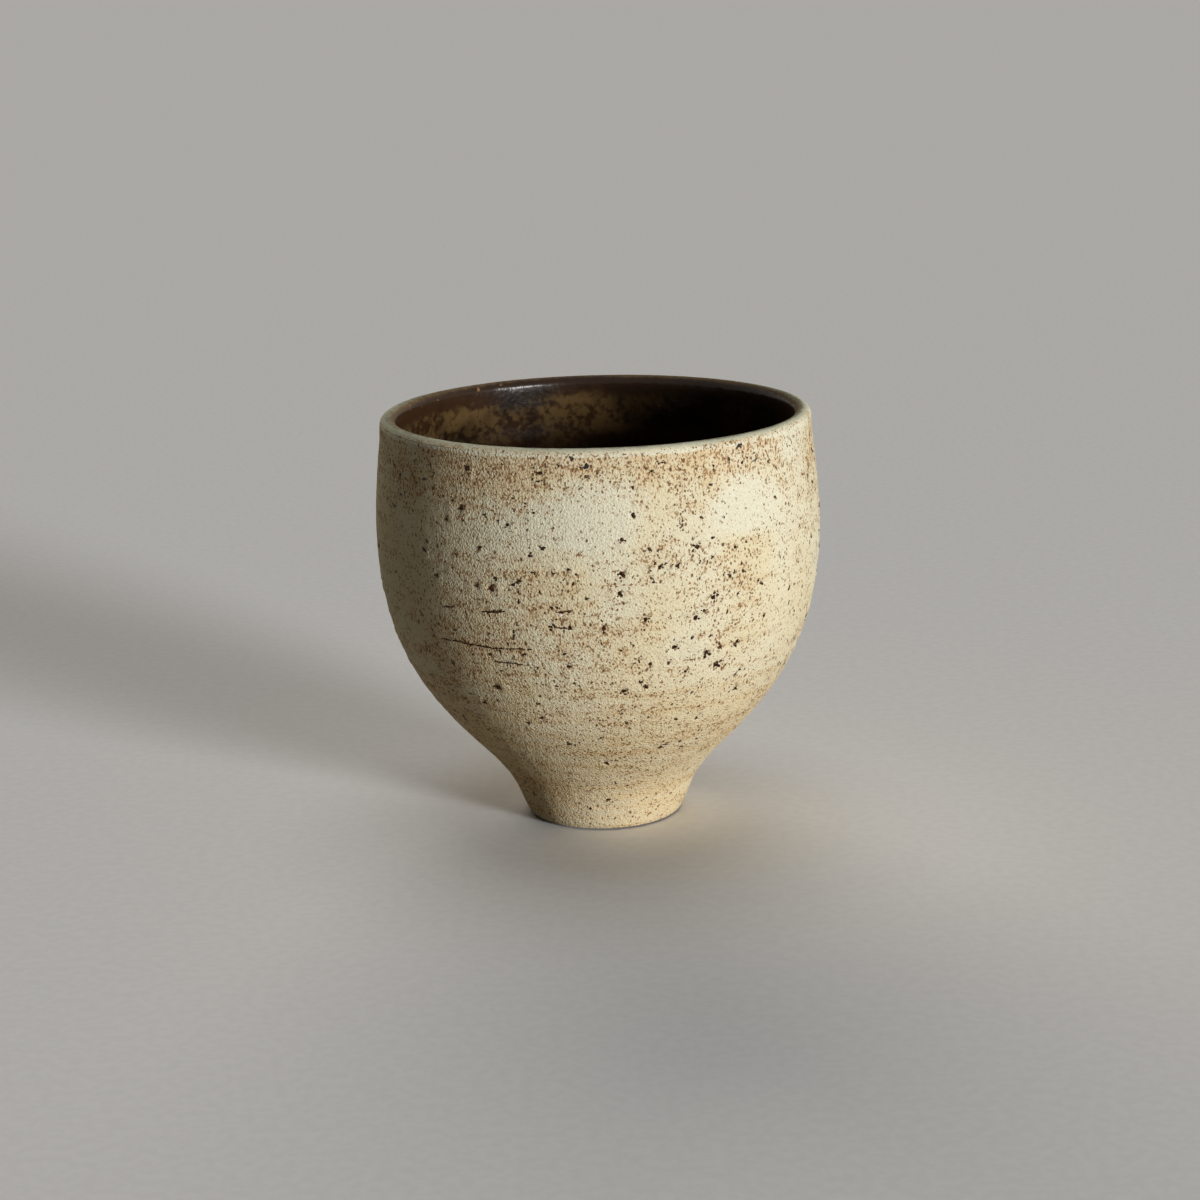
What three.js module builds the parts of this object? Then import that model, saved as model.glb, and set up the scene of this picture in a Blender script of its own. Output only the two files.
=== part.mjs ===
// A wheel-thrown stoneware rocks cup: a full round belly on a narrow turned foot.
// One fired clay body carries two coats, a cream slip outside and a dark glaze lining inside,
// and over the rounded lip the glaze thickens as the slip below it feathers out.
// Millimetres, +Z up, origin on the ground at the centre of the foot.
import * as THREE from "three";

// Heights of the finished cup, stacked from the ground up
const FOOT_HEIGHT = 6;
const BELLY_RISE = 53.4;
const SHOULDER_RISE = 22.6;

// Outside radii of the finished cup; the foot's is where its flank would meet the ground
const FOOT_RADIUS = 15.6;
const NECK_RADIUS = 18.1;
const BELLY_RADIUS = 44;
const LIP_RADIUS = 42.3;

// Lengths over which the outside keeps its direction where two curves meet
const NECK_SWEEP = 12.7;
const BELLY_FULLNESS = 34.7;
const SHOULDER_FULLNESS = 8.7;
const COLLAR_LENGTH = 2;

// Thickness of the finished wall, coats included
const LIP_THICKNESS = 3.4;
const WALL_THICKNESS = 4.2;
const LOWER_WALL_THICKNESS = 5.4;
const FLOOR_THICKNESS = 7;

// Coats, and the seam left between a coat and what it lies on
const SLIP_THICKNESS = 0.5;
const GLAZE_THICKNESS = 0.6;
const BOND_GAP = 0.05;

// Turned foot: a flat ring with a rounded outer edge, dished inside
const FOOT_EDGE_ROUNDING = 1.5;
const FOOT_RING_WIDTH = 4;
const RECESS_DEPTH = 2.5;
const RECESS_SWEEP = 4;

// Facets around the axis, and steps along each curve of the profile
const FACETS = 56;
const RECESS_STEPS = 3;
const FOOT_EDGE_STEPS = 3;
const FLANK_STEPS = 1;
const BELLY_STEPS = 8;
const SHOULDER_STEPS = 4;
const LIP_STEPS = 6;
const BOWL_STEPS = 5;

const bellyHeight = FOOT_HEIGHT + BELLY_RISE;
const lipHeight = bellyHeight + SHOULDER_RISE - LIP_THICKNESS / 2;
const floorHeight = RECESS_DEPTH + FLOOR_THICKNESS;

const point = (radius, height) => new THREE.Vector2(radius, height);

// Stations along a curve of the finished surface, each with the direction that leads into the clay.
// Every curve runs with the clay on its left: up the outside, over the lip and down the inside.
function stations(curve, steps) {
  return Array.from({ length: steps + 1 }, (_, i) => {
    const along = curve.getTangent(i / steps);
    return { at: curve.getPoint(i / steps), into: point(-along.y, along.x) };
  });
}

// The place at a given depth below a station
const below = ({ at, into }, depth) => at.clone().addScaledVector(into, depth);

// A value that changes evenly from the first of a list's stations to its last
const graded = (first, last, i, list) => THREE.MathUtils.lerp(first, last, i / (list.length - 1));

// The wall's inner face opposite outside stations, for its thickness at the first and the last
function innerFace(outside, firstThickness, lastThickness) {
  return outside.map((station, i) => ({
    at: below(station, graded(firstThickness, lastThickness, i, outside)),
    into: station.into.clone().negate(),
  }));
}

// Stations with the thickness of slip and of glaze at the first and the last
function coated(bare, [firstSlip, lastSlip], [firstGlaze, lastGlaze]) {
  return bare.map((station, i) => ({
    ...station,
    slip: graded(firstSlip, lastSlip, i, bare),
    glaze: graded(firstGlaze, lastGlaze, i, bare),
  }));
}

// Outside of the finished cup: a rounded foot edge, a straight flank, a belly that swells out of
// it and a shoulder that draws in to the lip
const footCorner = point(FOOT_RADIUS, 0);
const neck = point(NECK_RADIUS, FOOT_HEIGHT);
const widest = point(BELLY_RADIUS, bellyHeight);
const flankDirection = neck.clone().sub(footCorner).normalize();
const ringOutside = point(FOOT_RADIUS - FOOT_EDGE_ROUNDING, 0);
const flankStart = footCorner.clone().addScaledVector(flankDirection, FOOT_EDGE_ROUNDING);

const footEdge = stations(
  new THREE.QuadraticBezierCurve(ringOutside, footCorner, flankStart),
  FOOT_EDGE_STEPS,
);
const flank = stations(new THREE.LineCurve(flankStart, neck), FLANK_STEPS);
const belly = stations(
  new THREE.CubicBezierCurve(
    neck,
    neck.clone().addScaledVector(flankDirection, NECK_SWEEP),
    point(BELLY_RADIUS, bellyHeight - BELLY_FULLNESS),
    widest,
  ),
  BELLY_STEPS,
);
const shoulder = stations(
  new THREE.CubicBezierCurve(
    widest,
    point(BELLY_RADIUS, bellyHeight + SHOULDER_FULLNESS),
    point(LIP_RADIUS, lipHeight - COLLAR_LENGTH),
    point(LIP_RADIUS, lipHeight),
  ),
  SHOULDER_STEPS,
);

// Lip: a half round
const lip = stations(
  new THREE.EllipseCurve(
    LIP_RADIUS - LIP_THICKNESS / 2,
    lipHeight,
    LIP_THICKNESS / 2,
    LIP_THICKNESS / 2,
    0,
    Math.PI,
  ),
  LIP_STEPS,
);

// Inside: the wall follows the outside down to the middle of the belly, then rounds into the floor
const innerShoulder = innerFace(shoulder, WALL_THICKNESS, LIP_THICKNESS).reverse();
const upperBelly = belly.slice(BELLY_STEPS / 2);
const innerBelly = innerFace(upperBelly, LOWER_WALL_THICKNESS, WALL_THICKNESS).reverse();
const bowlEdge = innerBelly.at(-1);
const bowlDrop = bowlEdge.at.y - floorHeight;
const bowlSlope = bowlEdge.into.y / bowlEdge.into.x;
const bowl = stations(
  new THREE.QuadraticBezierCurve(
    bowlEdge.at,
    point(bowlEdge.at.x + bowlDrop * bowlSlope, floorHeight),
    point(0, floorHeight),
  ),
  BOWL_STEPS,
);

// The finished surface with its coats: the slip is wiped away towards the ground, and over the
// lip the glaze takes over from it
const slipEdge = coated(footEdge, [0, SLIP_THICKNESS], [0, 0]);
const slipWall = coated(
  [...flank, ...belly.slice(1), ...shoulder.slice(1)],
  [SLIP_THICKNESS, SLIP_THICKNESS],
  [0, 0],
);
const lap = coated(lip, [SLIP_THICKNESS, 0], [0, GLAZE_THICKNESS]);
const glazeWall = coated(
  [...innerShoulder, ...innerBelly.slice(1), ...bowl.slice(1)],
  [0, 0],
  [GLAZE_THICKNESS, GLAZE_THICKNESS],
);

// A closed profile turned about the vertical axis
function turned(name, profile, material) {
  const mesh = new THREE.Mesh(new THREE.LatheGeometry(profile, FACETS), material);
  mesh.geometry.rotateX(Math.PI / 2);
  mesh.name = name;
  return mesh;
}

// Clay body: out from the middle of the recess, round the foot ring, up the outside and down the
// inside to the floor, everywhere below the coats
function stonewareBody() {
  const ringInside = ringOutside.x - FOOT_RING_WIDTH;
  const recess = new THREE.QuadraticBezierCurve(
    point(ringInside - RECESS_SWEEP, RECESS_DEPTH),
    point(ringInside, RECESS_DEPTH),
    point(ringInside, 0),
  );
  const clay = [...slipEdge, ...slipWall.slice(1), ...lap.slice(1), ...glazeWall.slice(1)];
  const profile = [
    point(0, RECESS_DEPTH),
    ...recess.getPoints(RECESS_STEPS),
    ...clay.map((s) => below(s, s.slip + s.glaze)),
  ];
  const material = new THREE.MeshStandardMaterial({ color: 0x8c6a4a, roughness: 0.92, metalness: 0 });
  return turned("stoneware_body", profile, material);
}

// Slip coat: from its wiped edge up the outside and on under the glaze, where it runs out
function slipCoat() {
  const covered = [...slipEdge.slice(1), ...slipWall.slice(1), ...lap.slice(1, -1)];
  const face = covered.map((s) => below(s, s.glaze));
  const back = covered.map((s) => below(s, s.glaze + s.slip - BOND_GAP));
  const material = new THREE.MeshStandardMaterial({ color: 0xdccfa8, roughness: 0.88, metalness: 0 });
  return turned("slip_coat", [...face, ...back.reverse(), face[0]], material);
}

// Glaze lining: its back follows the clay up from the floor and laps over the slip, its face
// comes down again to the middle of the bowl
function glazeLining() {
  const covered = [...lap.slice(1), ...glazeWall.slice(1)];
  const face = covered.map((s) => s.at);
  const back = covered.map((s) => below(s, s.glaze - BOND_GAP));
  const material = new THREE.MeshStandardMaterial({ color: 0x3b2614, roughness: 0.22, metalness: 0 });
  return turned("glaze_lining", [...back.reverse(), ...face], material);
}

const cup = new THREE.Group();
cup.add(stonewareBody(), slipCoat(), glazeLining());

export default cup;
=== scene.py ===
import math
import random

import bmesh
import bpy
from mathutils import Matrix, Vector, noise
from mathutils.bvhtree import BVHTree
from mathutils.geometry import interpolate_bezier
from mathutils.kdtree import KDTree


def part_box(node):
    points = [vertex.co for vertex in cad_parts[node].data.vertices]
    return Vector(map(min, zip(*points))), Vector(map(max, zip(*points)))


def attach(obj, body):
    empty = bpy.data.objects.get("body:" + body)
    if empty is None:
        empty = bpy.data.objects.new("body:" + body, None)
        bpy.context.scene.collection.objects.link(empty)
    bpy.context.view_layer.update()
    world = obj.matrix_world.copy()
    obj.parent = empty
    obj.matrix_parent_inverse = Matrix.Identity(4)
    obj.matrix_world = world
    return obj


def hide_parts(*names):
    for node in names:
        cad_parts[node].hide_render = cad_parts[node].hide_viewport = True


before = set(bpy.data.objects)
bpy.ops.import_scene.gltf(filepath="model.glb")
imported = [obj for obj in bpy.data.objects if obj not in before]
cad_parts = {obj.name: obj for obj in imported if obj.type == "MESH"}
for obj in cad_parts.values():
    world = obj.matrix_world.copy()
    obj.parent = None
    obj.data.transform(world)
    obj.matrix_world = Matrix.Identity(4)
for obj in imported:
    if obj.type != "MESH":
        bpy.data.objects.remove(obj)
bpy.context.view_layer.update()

# Camera: a short telephoto lens a little above the cup, tipped down at it and slightly rolled.
# It comes first because the iron spots that show from the front are placed along its sight lines.
CAMERA_PLACE = Vector((0, -0.48405, 0.16776))
CAMERA_TIP = math.radians(90 - 14.43)
CAMERA_ROLL = math.radians(-1.487)
LENS = 75
SENSOR = 36
PICTURE_SIDE = 1200

camera_data = bpy.data.cameras.new("camera")
camera_data.lens = LENS
camera_data.sensor_width = SENSOR
camera = bpy.data.objects.new("camera", camera_data)
camera_turn = Matrix.Rotation(CAMERA_TIP, 4, "X") @ Matrix.Rotation(CAMERA_ROLL, 4, "Z")
camera.matrix_world = Matrix.Translation(CAMERA_PLACE) @ camera_turn
bpy.context.scene.collection.objects.link(camera)
bpy.context.scene.camera = camera


def sight_line(column, row):
    """The direction from the camera through a place in the picture, given in its pixels."""
    across = (column / PICTURE_SIDE - 0.5) * SENSOR
    upward = (0.5 - row / PICTURE_SIDE) * SENSOR
    return (camera_turn.to_3x3() @ Vector((across, upward, -LENS))).normalized()


# Stoneware body: iron-bearing clay thrown on the wheel in one piece, with the foot turned to a
# flat ring round a shallow recess. The coats hide it except under the foot, where it is bare.
MM = 0.001
CUP_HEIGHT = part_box("glaze_lining")[1].z
BELLY_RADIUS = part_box("slip_coat")[1].x
FOOT_HEIGHT = 6 * MM
BELLY_HEIGHT = 59.4 * MM
FOOT_RADIUS = 15.6 * MM
NECK_RADIUS = 18.1 * MM
LIP_RADIUS = 42.3 * MM
NECK_SWEEP = 12.7 * MM
BELLY_FULLNESS = 34.7 * MM
SHOULDER_FULLNESS = 8.7 * MM
COLLAR_LENGTH = 2 * MM
LIP_THICKNESS = 3.4 * MM
WALL_THICKNESS = 4.2 * MM
LOWER_WALL_THICKNESS = 5.4 * MM
FLOOR_HEIGHT = 9.5 * MM
SLIP_THICKNESS = 0.5 * MM
GLAZE_THICKNESS = 0.6 * MM
BOND_GAP = 0.05 * MM
FOOT_EDGE_ROUNDING = 1.5 * MM
FOOT_RING_WIDTH = 4 * MM
RING_INNER_ROUNDING = 0.5 * MM
RECESS_DEPTH = 2.5 * MM
RECESS_SWEEP = 4 * MM
TURNING_PITCH = 0.9 * MM
TURNING_DEPTH = 0.09 * MM
CLAY_RING_GAP = 3 * MM
RECESS_RING_GAP = 0.22 * MM
CLAY_GORES = 24
CLAY_GORE_STEPS = 8
CURVE_POINTS = 121
WELD_DISTANCE = 0.001 * MM
SHARP_EDGE = math.radians(50)
BARE_CLAY = (0.33, 0.19, 0.105, 1)
PALE_CLAY = (0.47, 0.31, 0.18, 1)
DARK_GRIT = (0.05, 0.03, 0.02, 1)
PALE_GRIT = (0.62, 0.52, 0.38, 1)


def place(radius, height):
    """A point of the profile."""
    return Vector((radius, 0, height))


def sweep(start, lead, draw, end):
    """A curve that leaves its start towards one place and comes to its end from another."""
    return interpolate_bezier(start, lead, draw, end, CURVE_POINTS)


def bend(start, corner, end):
    """A curve that rounds off a corner."""
    return sweep(start, start.lerp(corner, 2 / 3), end.lerp(corner, 2 / 3), end)


def joined(*runs):
    """Runs that each start where the last one ended, as one line."""
    return [runs[0][0]] + [point for run in runs for point in run[1:]]


def spaced(line, gap):
    """The same line with its points an even gap apart."""
    lengths = [(after - before).length for before, after in zip(line, line[1:])]
    count = round(sum(lengths) / gap)
    stride = sum(lengths) / count
    points = [line[0]]
    walked = 0
    i = 0
    for n in range(1, count):
        while walked + lengths[i] < n * stride:
            walked += lengths[i]
            i += 1
        points.append(line[i].lerp(line[i + 1], (n * stride - walked) / lengths[i]))
    return points + [line[-1]]


def sunk(line, depths):
    """A line moved into the clay, which lies on its left, by a depth for each of its points.

    A point on the axis stays on it, so that the turned shape closes there.
    """
    moved = []
    for i, (point, depth) in enumerate(zip(line, depths)):
        along = (line[min(i + 1, len(line) - 1)] - line[max(i - 1, 0)]).normalized()
        inward = Vector((-along.z if point.x > 0 else 0, 0, along.x))
        moved.append(point + inward * depth)
    return moved


def graded(first, last, count):
    """A count of values in even steps from first to last."""
    return [first + (last - first) * i / (count - 1) for i in range(count)]


def feathered(line):
    """The slip's thickness along a line, which runs out to nothing over the foot's edge."""
    return [min(1, point.z / flank_start.z) * SLIP_THICKNESS for point in line]


def turned(line, gores, gore_steps, closed=False, marks=None):
    """A profile spun about the upright axis, first through one gore and then gore by gore."""
    bm = bmesh.new()
    for name in marks or {}:
        bm.verts.layers.float.new(name)
    rim = [bm.verts.new(point) for point in line]
    for name, values in (marks or {}).items():
        layer = bm.verts.layers.float[name]
        for vertex, value in zip(rim, values):
            vertex[layer] = value
    pairs = list(zip(rim, rim[1:] + rim[:1])) if closed else list(zip(rim, rim[1:]))
    edges = [bm.edges.new(pair) for pair in pairs]
    gore = math.tau / gores
    about = {"cent": (0, 0, 0), "axis": (0, 0, 1), "dvec": (0, 0, 0)}
    bmesh.ops.spin(bm, geom=rim + edges, angle=gore, steps=gore_steps, **about)
    whole = bm.verts[:] + bm.edges[:] + bm.faces[:]
    rest = math.tau - gore
    bmesh.ops.spin(bm, geom=whole, angle=rest, steps=gores - 1, use_duplicate=True, **about)
    bmesh.ops.remove_doubles(bm, verts=bm.verts, dist=WELD_DISTANCE)
    bmesh.ops.recalc_face_normals(bm, faces=bm.faces)
    return bm


def finished(bm, name, material):
    """The mesh as an object at the origin, smooth but for its real edges."""
    mesh = bpy.data.meshes.new(name)
    bm.to_mesh(mesh)
    bm.free()
    mesh.materials.append(material)
    mesh.shade_smooth()
    mesh.set_sharp_from_angle(angle=SHARP_EDGE)
    made = bpy.data.objects.new(name, mesh)
    bpy.context.scene.collection.objects.link(made)
    return made


foot_corner = place(FOOT_RADIUS, 0)
neck = place(NECK_RADIUS, FOOT_HEIGHT)
widest = place(BELLY_RADIUS, BELLY_HEIGHT)
lip_height = CUP_HEIGHT - LIP_THICKNESS / 2
lip_start = place(LIP_RADIUS, lip_height)
lip_centre = place(LIP_RADIUS - LIP_THICKNESS / 2, lip_height)
flank_direction = (neck - foot_corner).normalized()
flank_start = foot_corner + flank_direction * FOOT_EDGE_ROUNDING
ring_outside = place(FOOT_RADIUS - FOOT_EDGE_ROUNDING, 0)
ring_inside = place(ring_outside.x - FOOT_RING_WIDTH, 0)

foot_edge = bend(ring_outside, foot_corner, flank_start)
flank = [flank_start, neck]
belly = sweep(
    neck,
    neck + flank_direction * NECK_SWEEP,
    place(BELLY_RADIUS, BELLY_HEIGHT - BELLY_FULLNESS),
    widest,
)
shoulder = sweep(
    widest,
    place(BELLY_RADIUS, BELLY_HEIGHT + SHOULDER_FULLNESS),
    place(LIP_RADIUS, lip_height - COLLAR_LENGTH),
    lip_start,
)
outside = joined(foot_edge, flank, belly, shoulder)

LIP_STEPS = 18
lip = [
    lip_centre + place(math.cos(turn), math.sin(turn)) * LIP_THICKNESS / 2
    for turn in graded(0, math.pi, LIP_STEPS + 1)
]
lip_glaze = graded(0, GLAZE_THICKNESS, LIP_STEPS + 1)
lip_slip = graded(SLIP_THICKNESS, 0, LIP_STEPS + 1)

upper_belly = belly[len(belly) // 2:]
inner_shoulder = sunk(shoulder, graded(WALL_THICKNESS, LIP_THICKNESS, len(shoulder)))[::-1]
inner_belly = sunk(
    upper_belly, graded(LOWER_WALL_THICKNESS, WALL_THICKNESS, len(upper_belly))
)[::-1]
bowl_slope = (upper_belly[1] - upper_belly[0]).normalized()
bowl_drop = inner_belly[-1].z - FLOOR_HEIGHT
bowl_corner = place(inner_belly[-1].x - bowl_drop * bowl_slope.x / bowl_slope.z, FLOOR_HEIGHT)
bowl = bend(inner_belly[-1], bowl_corner, place(0, FLOOR_HEIGHT))
inside = joined(inner_shoulder, inner_belly, bowl)

recess_edge = place(ring_inside.x - RECESS_SWEEP, RECESS_DEPTH)
recess = joined(
    [place(0, RECESS_DEPTH), recess_edge],
    bend(
        recess_edge,
        place(ring_inside.x, RECESS_DEPTH),
        place(ring_inside.x, RING_INNER_ROUNDING),
    ),
    bend(
        place(ring_inside.x, RING_INNER_ROUNDING),
        ring_inside,
        place(ring_inside.x + RING_INNER_ROUNDING, 0),
    ),
)
clay_outside = spaced(outside, CLAY_RING_GAP)
clay_inside = spaced(inside, CLAY_RING_GAP)
clay_line = joined(
    spaced(recess, RECESS_RING_GAP),
    [recess[-1], ring_outside],
    sunk(clay_outside, feathered(clay_outside)),
    sunk(lip, [a + b for a, b in zip(lip_slip, lip_glaze)]),
    sunk(clay_inside, [GLAZE_THICKNESS] * len(clay_inside)),
)
clay_bm = turned(clay_line, CLAY_GORES, CLAY_GORE_STEPS)
for vertex in clay_bm.verts:
    out = math.hypot(vertex.co.x, vertex.co.y)
    if out < recess_edge.x and vertex.co.z < RECESS_DEPTH + MM:
        spiral = out / TURNING_PITCH * math.tau - math.atan2(vertex.co.y, vertex.co.x)
        fade_out = min(1, out / TURNING_PITCH)
        vertex.co.z += TURNING_DEPTH * (0.5 + 0.5 * math.sin(spiral)) * fade_out


def feed(tree, socket, value):
    """Sets a socket, or links it where the value is another node's output."""
    if isinstance(value, bpy.types.NodeSocket):
        tree.links.new(value, socket)
    else:
        socket.default_value = value


def sums(tree, operation, first, second):
    """A sum on two values, each a number or another node's output."""
    node = tree.nodes.new("ShaderNodeMath")
    node.operation = operation
    feed(tree, node.inputs[0], first)
    feed(tree, node.inputs[1], second)
    return node.outputs[0]


def fade(tree, value, low, high, first=0, last=1):
    """A smooth passage from first to last as a value goes from low to high."""
    node = tree.nodes.new("ShaderNodeMapRange")
    node.interpolation_type = "SMOOTHSTEP"
    for socket, given in zip(node.inputs, (value, low, high, first, last)):
        feed(tree, socket, given)
    return node.outputs[0]


def tint(tree, share, under, over, most=1):
    """One colour over another, by a share of the most that it may cover."""
    if most < 1:
        share = sums(tree, "MULTIPLY", share, most)
    node = tree.nodes.new("ShaderNodeMix")
    node.data_type = "RGBA"
    feed(tree, node.inputs[0], share)
    feed(tree, node.inputs[6], under)
    feed(tree, node.inputs[7], over)
    return node.outputs[2]


def clouds(tree, where, size, detail=2):
    """Soft noise whose patches are about the given size in metres."""
    node = tree.nodes.new("ShaderNodeTexNoise")
    feed(tree, node.inputs["Vector"], where)
    node.inputs["Scale"].default_value = 1 / size
    node.inputs["Detail"].default_value = detail
    return node.outputs["Fac"]


def ragged(tree, where, size, reach):
    """Coordinates pushed about by noise, so that round flecks lose their round outline."""
    node = tree.nodes.new("ShaderNodeTexNoise")
    feed(tree, node.inputs["Vector"], where)
    node.inputs["Scale"].default_value = 1 / size
    shift = tree.nodes.new("ShaderNodeVectorMath")
    shift.operation = "MULTIPLY_ADD"
    feed(tree, shift.inputs[0], node.outputs["Color"])
    shift.inputs[1].default_value = (reach, reach, reach)
    feed(tree, shift.inputs[2], where)
    return shift.outputs[0]


def flecks(tree, where, spacing, small, large, share, edge=0.06):
    """Scattered flecks with radii from small to large, at a share of the places for them."""
    node = tree.nodes.new("ShaderNodeTexVoronoi")
    feed(tree, node.inputs["Vector"], where)
    node.inputs["Scale"].default_value = 1 / spacing
    chance = tree.nodes.new("ShaderNodeSeparateColor")
    feed(tree, chance.inputs[0], node.outputs["Color"])
    radius = fade(tree, chance.outputs[1], 0, 1, small / spacing, large / spacing)
    depth = sums(tree, "SUBTRACT", radius, node.outputs["Distance"])
    present = sums(tree, "LESS_THAN", chance.outputs[0], share)
    return sums(tree, "MULTIPLY", fade(tree, depth, 0, edge), present)


def specks(tree, dust, level, edge):
    """Where soft noise rises above a level: specks with torn outlines."""
    return fade(tree, sums(tree, "SUBTRACT", dust, level), 0, edge)


def mark(tree, name):
    """A value that the mesh carries at its points."""
    node = tree.nodes.new("ShaderNodeAttribute")
    node.attribute_name = name
    return node.outputs["Fac"]


def bumped(tree, height, strength, reach):
    """Fine relief that shows in the light, on top of what the mesh holds."""
    node = tree.nodes.new("ShaderNodeBump")
    node.inputs["Strength"].default_value = strength
    node.inputs["Distance"].default_value = reach
    feed(tree, node.inputs["Height"], height)
    return node.outputs["Normal"]


def new_finish(name):
    """A fresh material with its tree, its surface shader and the piece's own coordinates."""
    material = bpy.data.materials.new(name)
    material.use_nodes = True
    tree = material.node_tree
    where = tree.nodes.new("ShaderNodeTexCoord").outputs["Object"]
    return material, tree, tree.nodes["Principled BSDF"].inputs, where


clay_finish, tree, surface, where = new_finish("bare_stoneware")
torn = ragged(tree, where, size=0.6 * MM, reach=0.3 * MM)
body_tone = tint(tree, fade(tree, clouds(tree, where, 5 * MM), 0.35, 0.65), BARE_CLAY, PALE_CLAY)
dark_grit = flecks(tree, torn, spacing=1.3 * MM, small=0.1 * MM, large=0.36 * MM, share=0.5)
pale_grit = flecks(tree, torn, spacing=1.9 * MM, small=0.1 * MM, large=0.4 * MM, share=0.35)
body_tone = tint(tree, pale_grit, body_tone, PALE_GRIT, most=0.6)
feed(tree, surface["Base Color"], tint(tree, dark_grit, body_tone, DARK_GRIT))
surface["Roughness"].default_value = 0.9
surface["Specular IOR Level"].default_value = 0.3
tooth = sums(tree, "SUBTRACT", clouds(tree, where, 0.4 * MM), dark_grit)
feed(tree, surface["Normal"], bumped(tree, tooth, strength=0.5, reach=0.12 * MM))

stoneware = finished(clay_bm, "stoneware", clay_finish)
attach(stoneware, "root")
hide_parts("stoneware_body")

# Slip coat: cream clay slip brushed over the outside and wiped from the foot's edge. It fired matt
# and sandy, with rust where it lies thin under the rim, and grains in the clay tore or burst it.
SLIP_RING_GAP = 0.6 * MM
SLIP_BACK_GAP = 4 * MM
SLIP_GORES = 24
SLIP_GORE_STEPS = 20
SLIP_FIRST_RING = 2
SLIP_LIP_END = -2
SLIP_LEVEL = 0.2 * MM
SAND_SIZE = 1.3 * MM
SAND_DEPTH = 0.06 * MM
BRUSH_SIZE = 1.6 * MM
BRUSH_STRETCH = 14
BRUSH_DEPTH = 0.05 * MM
WANDER_SIZE = 9 * MM
WANDER_DEPTH = 0.04 * MM
CALM_COLLAR = 3 * MM
CALMEST = 0.25
CRATER_DEPTH = 0.22 * MM
CRATER_SPREAD = 0.72
BLISTER_RISE = 0.17 * MM
BLISTER_SPREAD = 1.4
BLISTER_ASIDE = 0.9
DRAG_DEPTH = 0.16 * MM
DRAG_SPREAD = 0.75 * MM
DRAG_RUST = 0.6
RUST_SPREAD = 1.7
RUST_FALLOFF = 1.5
DEEPEST = 0.42 * MM
CROWD_PATCH = 15 * MM
CROWD_MIDDLE = 0.5
CROWD_SWING = 0.35
LEAST_CROWD = -0.2
MOST_CROWD = 1.6
ZONE_FALLOFF = 4
RIM_BAND = (66 * MM, 75.5 * MM)
OCHRE_REACH = (50 * MM, 12 * MM)
LOW_BELLY = (42 * MM, 22 * MM)
WIPED_FOOT = (4 * MM, 16 * MM)
STREAK_STRETCH = (0.07, 0.07, 1)
MOTTLE_STRETCH = (0.6, 0.6, 1)
SPECK_STRETCH = (1, 1, 0.75)
CREAM = (0.82, 0.785, 0.605, 1)
WARM_CREAM = (0.805, 0.712, 0.475, 1)
# The darker sand tint is partly the slip's own tone and partly painted shadow of its grains
SAND_TONE_AND_SHADOW = (0.58, 0.45, 0.245, 1)
OCHRE = (0.80, 0.585, 0.305, 1)
BLUSH = (0.69, 0.41, 0.165, 1)
TAN_DUST = (0.50, 0.32, 0.14, 1)
RUST_DUST = (0.34, 0.185, 0.07, 1)
RUST = (0.25, 0.108, 0.04, 1)
BROWN = (0.085, 0.04, 0.016, 1)
BURNT = (0.16, 0.07, 0.028, 1)
SOOT = (0.022, 0.014, 0.01, 1)
DROWNED_GREY = (0.40, 0.41, 0.41, 1)

# Spots that show from the front: their width, and the picture's column and row for each
FRONT_SPOTS = {
    2.1 * MM: ((707, 653), (717, 664)),
    1.7 * MM: ((698, 547), (622, 574), (714, 598), (674, 648), (721, 648), (696, 618)),
    1.3 * MM: (
        (659, 464), (634, 517), (622, 540), (678, 566), (705, 611), (604, 629), (646, 620),
        (736, 689), (736, 645), (624, 692), (647, 688), (620, 594), (497, 688), (423, 550),
        (491, 588), (461, 508), (466, 468), (540, 473), (606, 764),
    ),
    0.9 * MM: (
        (665, 463), (652, 471), (587, 477), (633, 487), (702, 517), (713, 538), (713, 557),
        (701, 561), (651, 571), (660, 568), (573, 585), (553, 574), (568, 570), (743, 463),
        (769, 461), (813, 481), (776, 497), (747, 542), (736, 547), (812, 536), (744, 571),
        (731, 576), (759, 581), (790, 589), (739, 594), (728, 612), (765, 616), (639, 661),
        (651, 665), (669, 664), (736, 675), (740, 670), (686, 672), (627, 724), (601, 739),
        (676, 720), (697, 719), (680, 742), (452, 500), (446, 519), (507, 525), (533, 513),
        (479, 548), (452, 568), (529, 556), (436, 576), (477, 586), (519, 581), (484, 703),
        (528, 724), (568, 667), (574, 684), (556, 687), (542, 719), (538, 705), (650, 567),
        (655, 564), (661, 566), (666, 564), (671, 566), (494, 612), (500, 612), (562, 613),
        (569, 612), (570, 628), (490, 655), (513, 585),
    ),
}
# Lines dragged by grains under the rib, each through two or three places in the picture
DRAG_LINES = (
    ((442, 639), (494, 649), (535, 650)),
    ((495, 662), (530, 666)),
    ((483, 612), (506, 612)),
    ((444, 607), (455, 607)),
    ((549, 627), (574, 630)),
    ((514, 629), (513, 642)),
    ((557, 613), (571, 612)),
)
# Zones where the slip is thin and rusty, or thick and pale: the picture's column and row, the
# width and height in millimetres, and how much more or less speckled than the rest
FRONT_ZONES = (
    (470, 474, 14, 9, 0.8), (520, 472, 14, 8, 0.8), (690, 472, 22, 9, 0.2),
    (600, 464, 16, 6, 0.4), (690, 585, 30, 22, 0.3), (800, 560, 8, 20, 0.3),
    (600, 640, 16, 8, 0.35), (505, 632, 40, 24, 0.6), (690, 735, 14, 5, 0.45),
    (560, 750, 20, 6, 0.3), (585, 525, 20, 14, -1.1), (745, 508, 18, 10, -1.0),
    (657, 547, 10, 1.3, 0.8), (793, 440, 14, 11, -0.6), (640, 700, 40, 16, 0.1),
)
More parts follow.
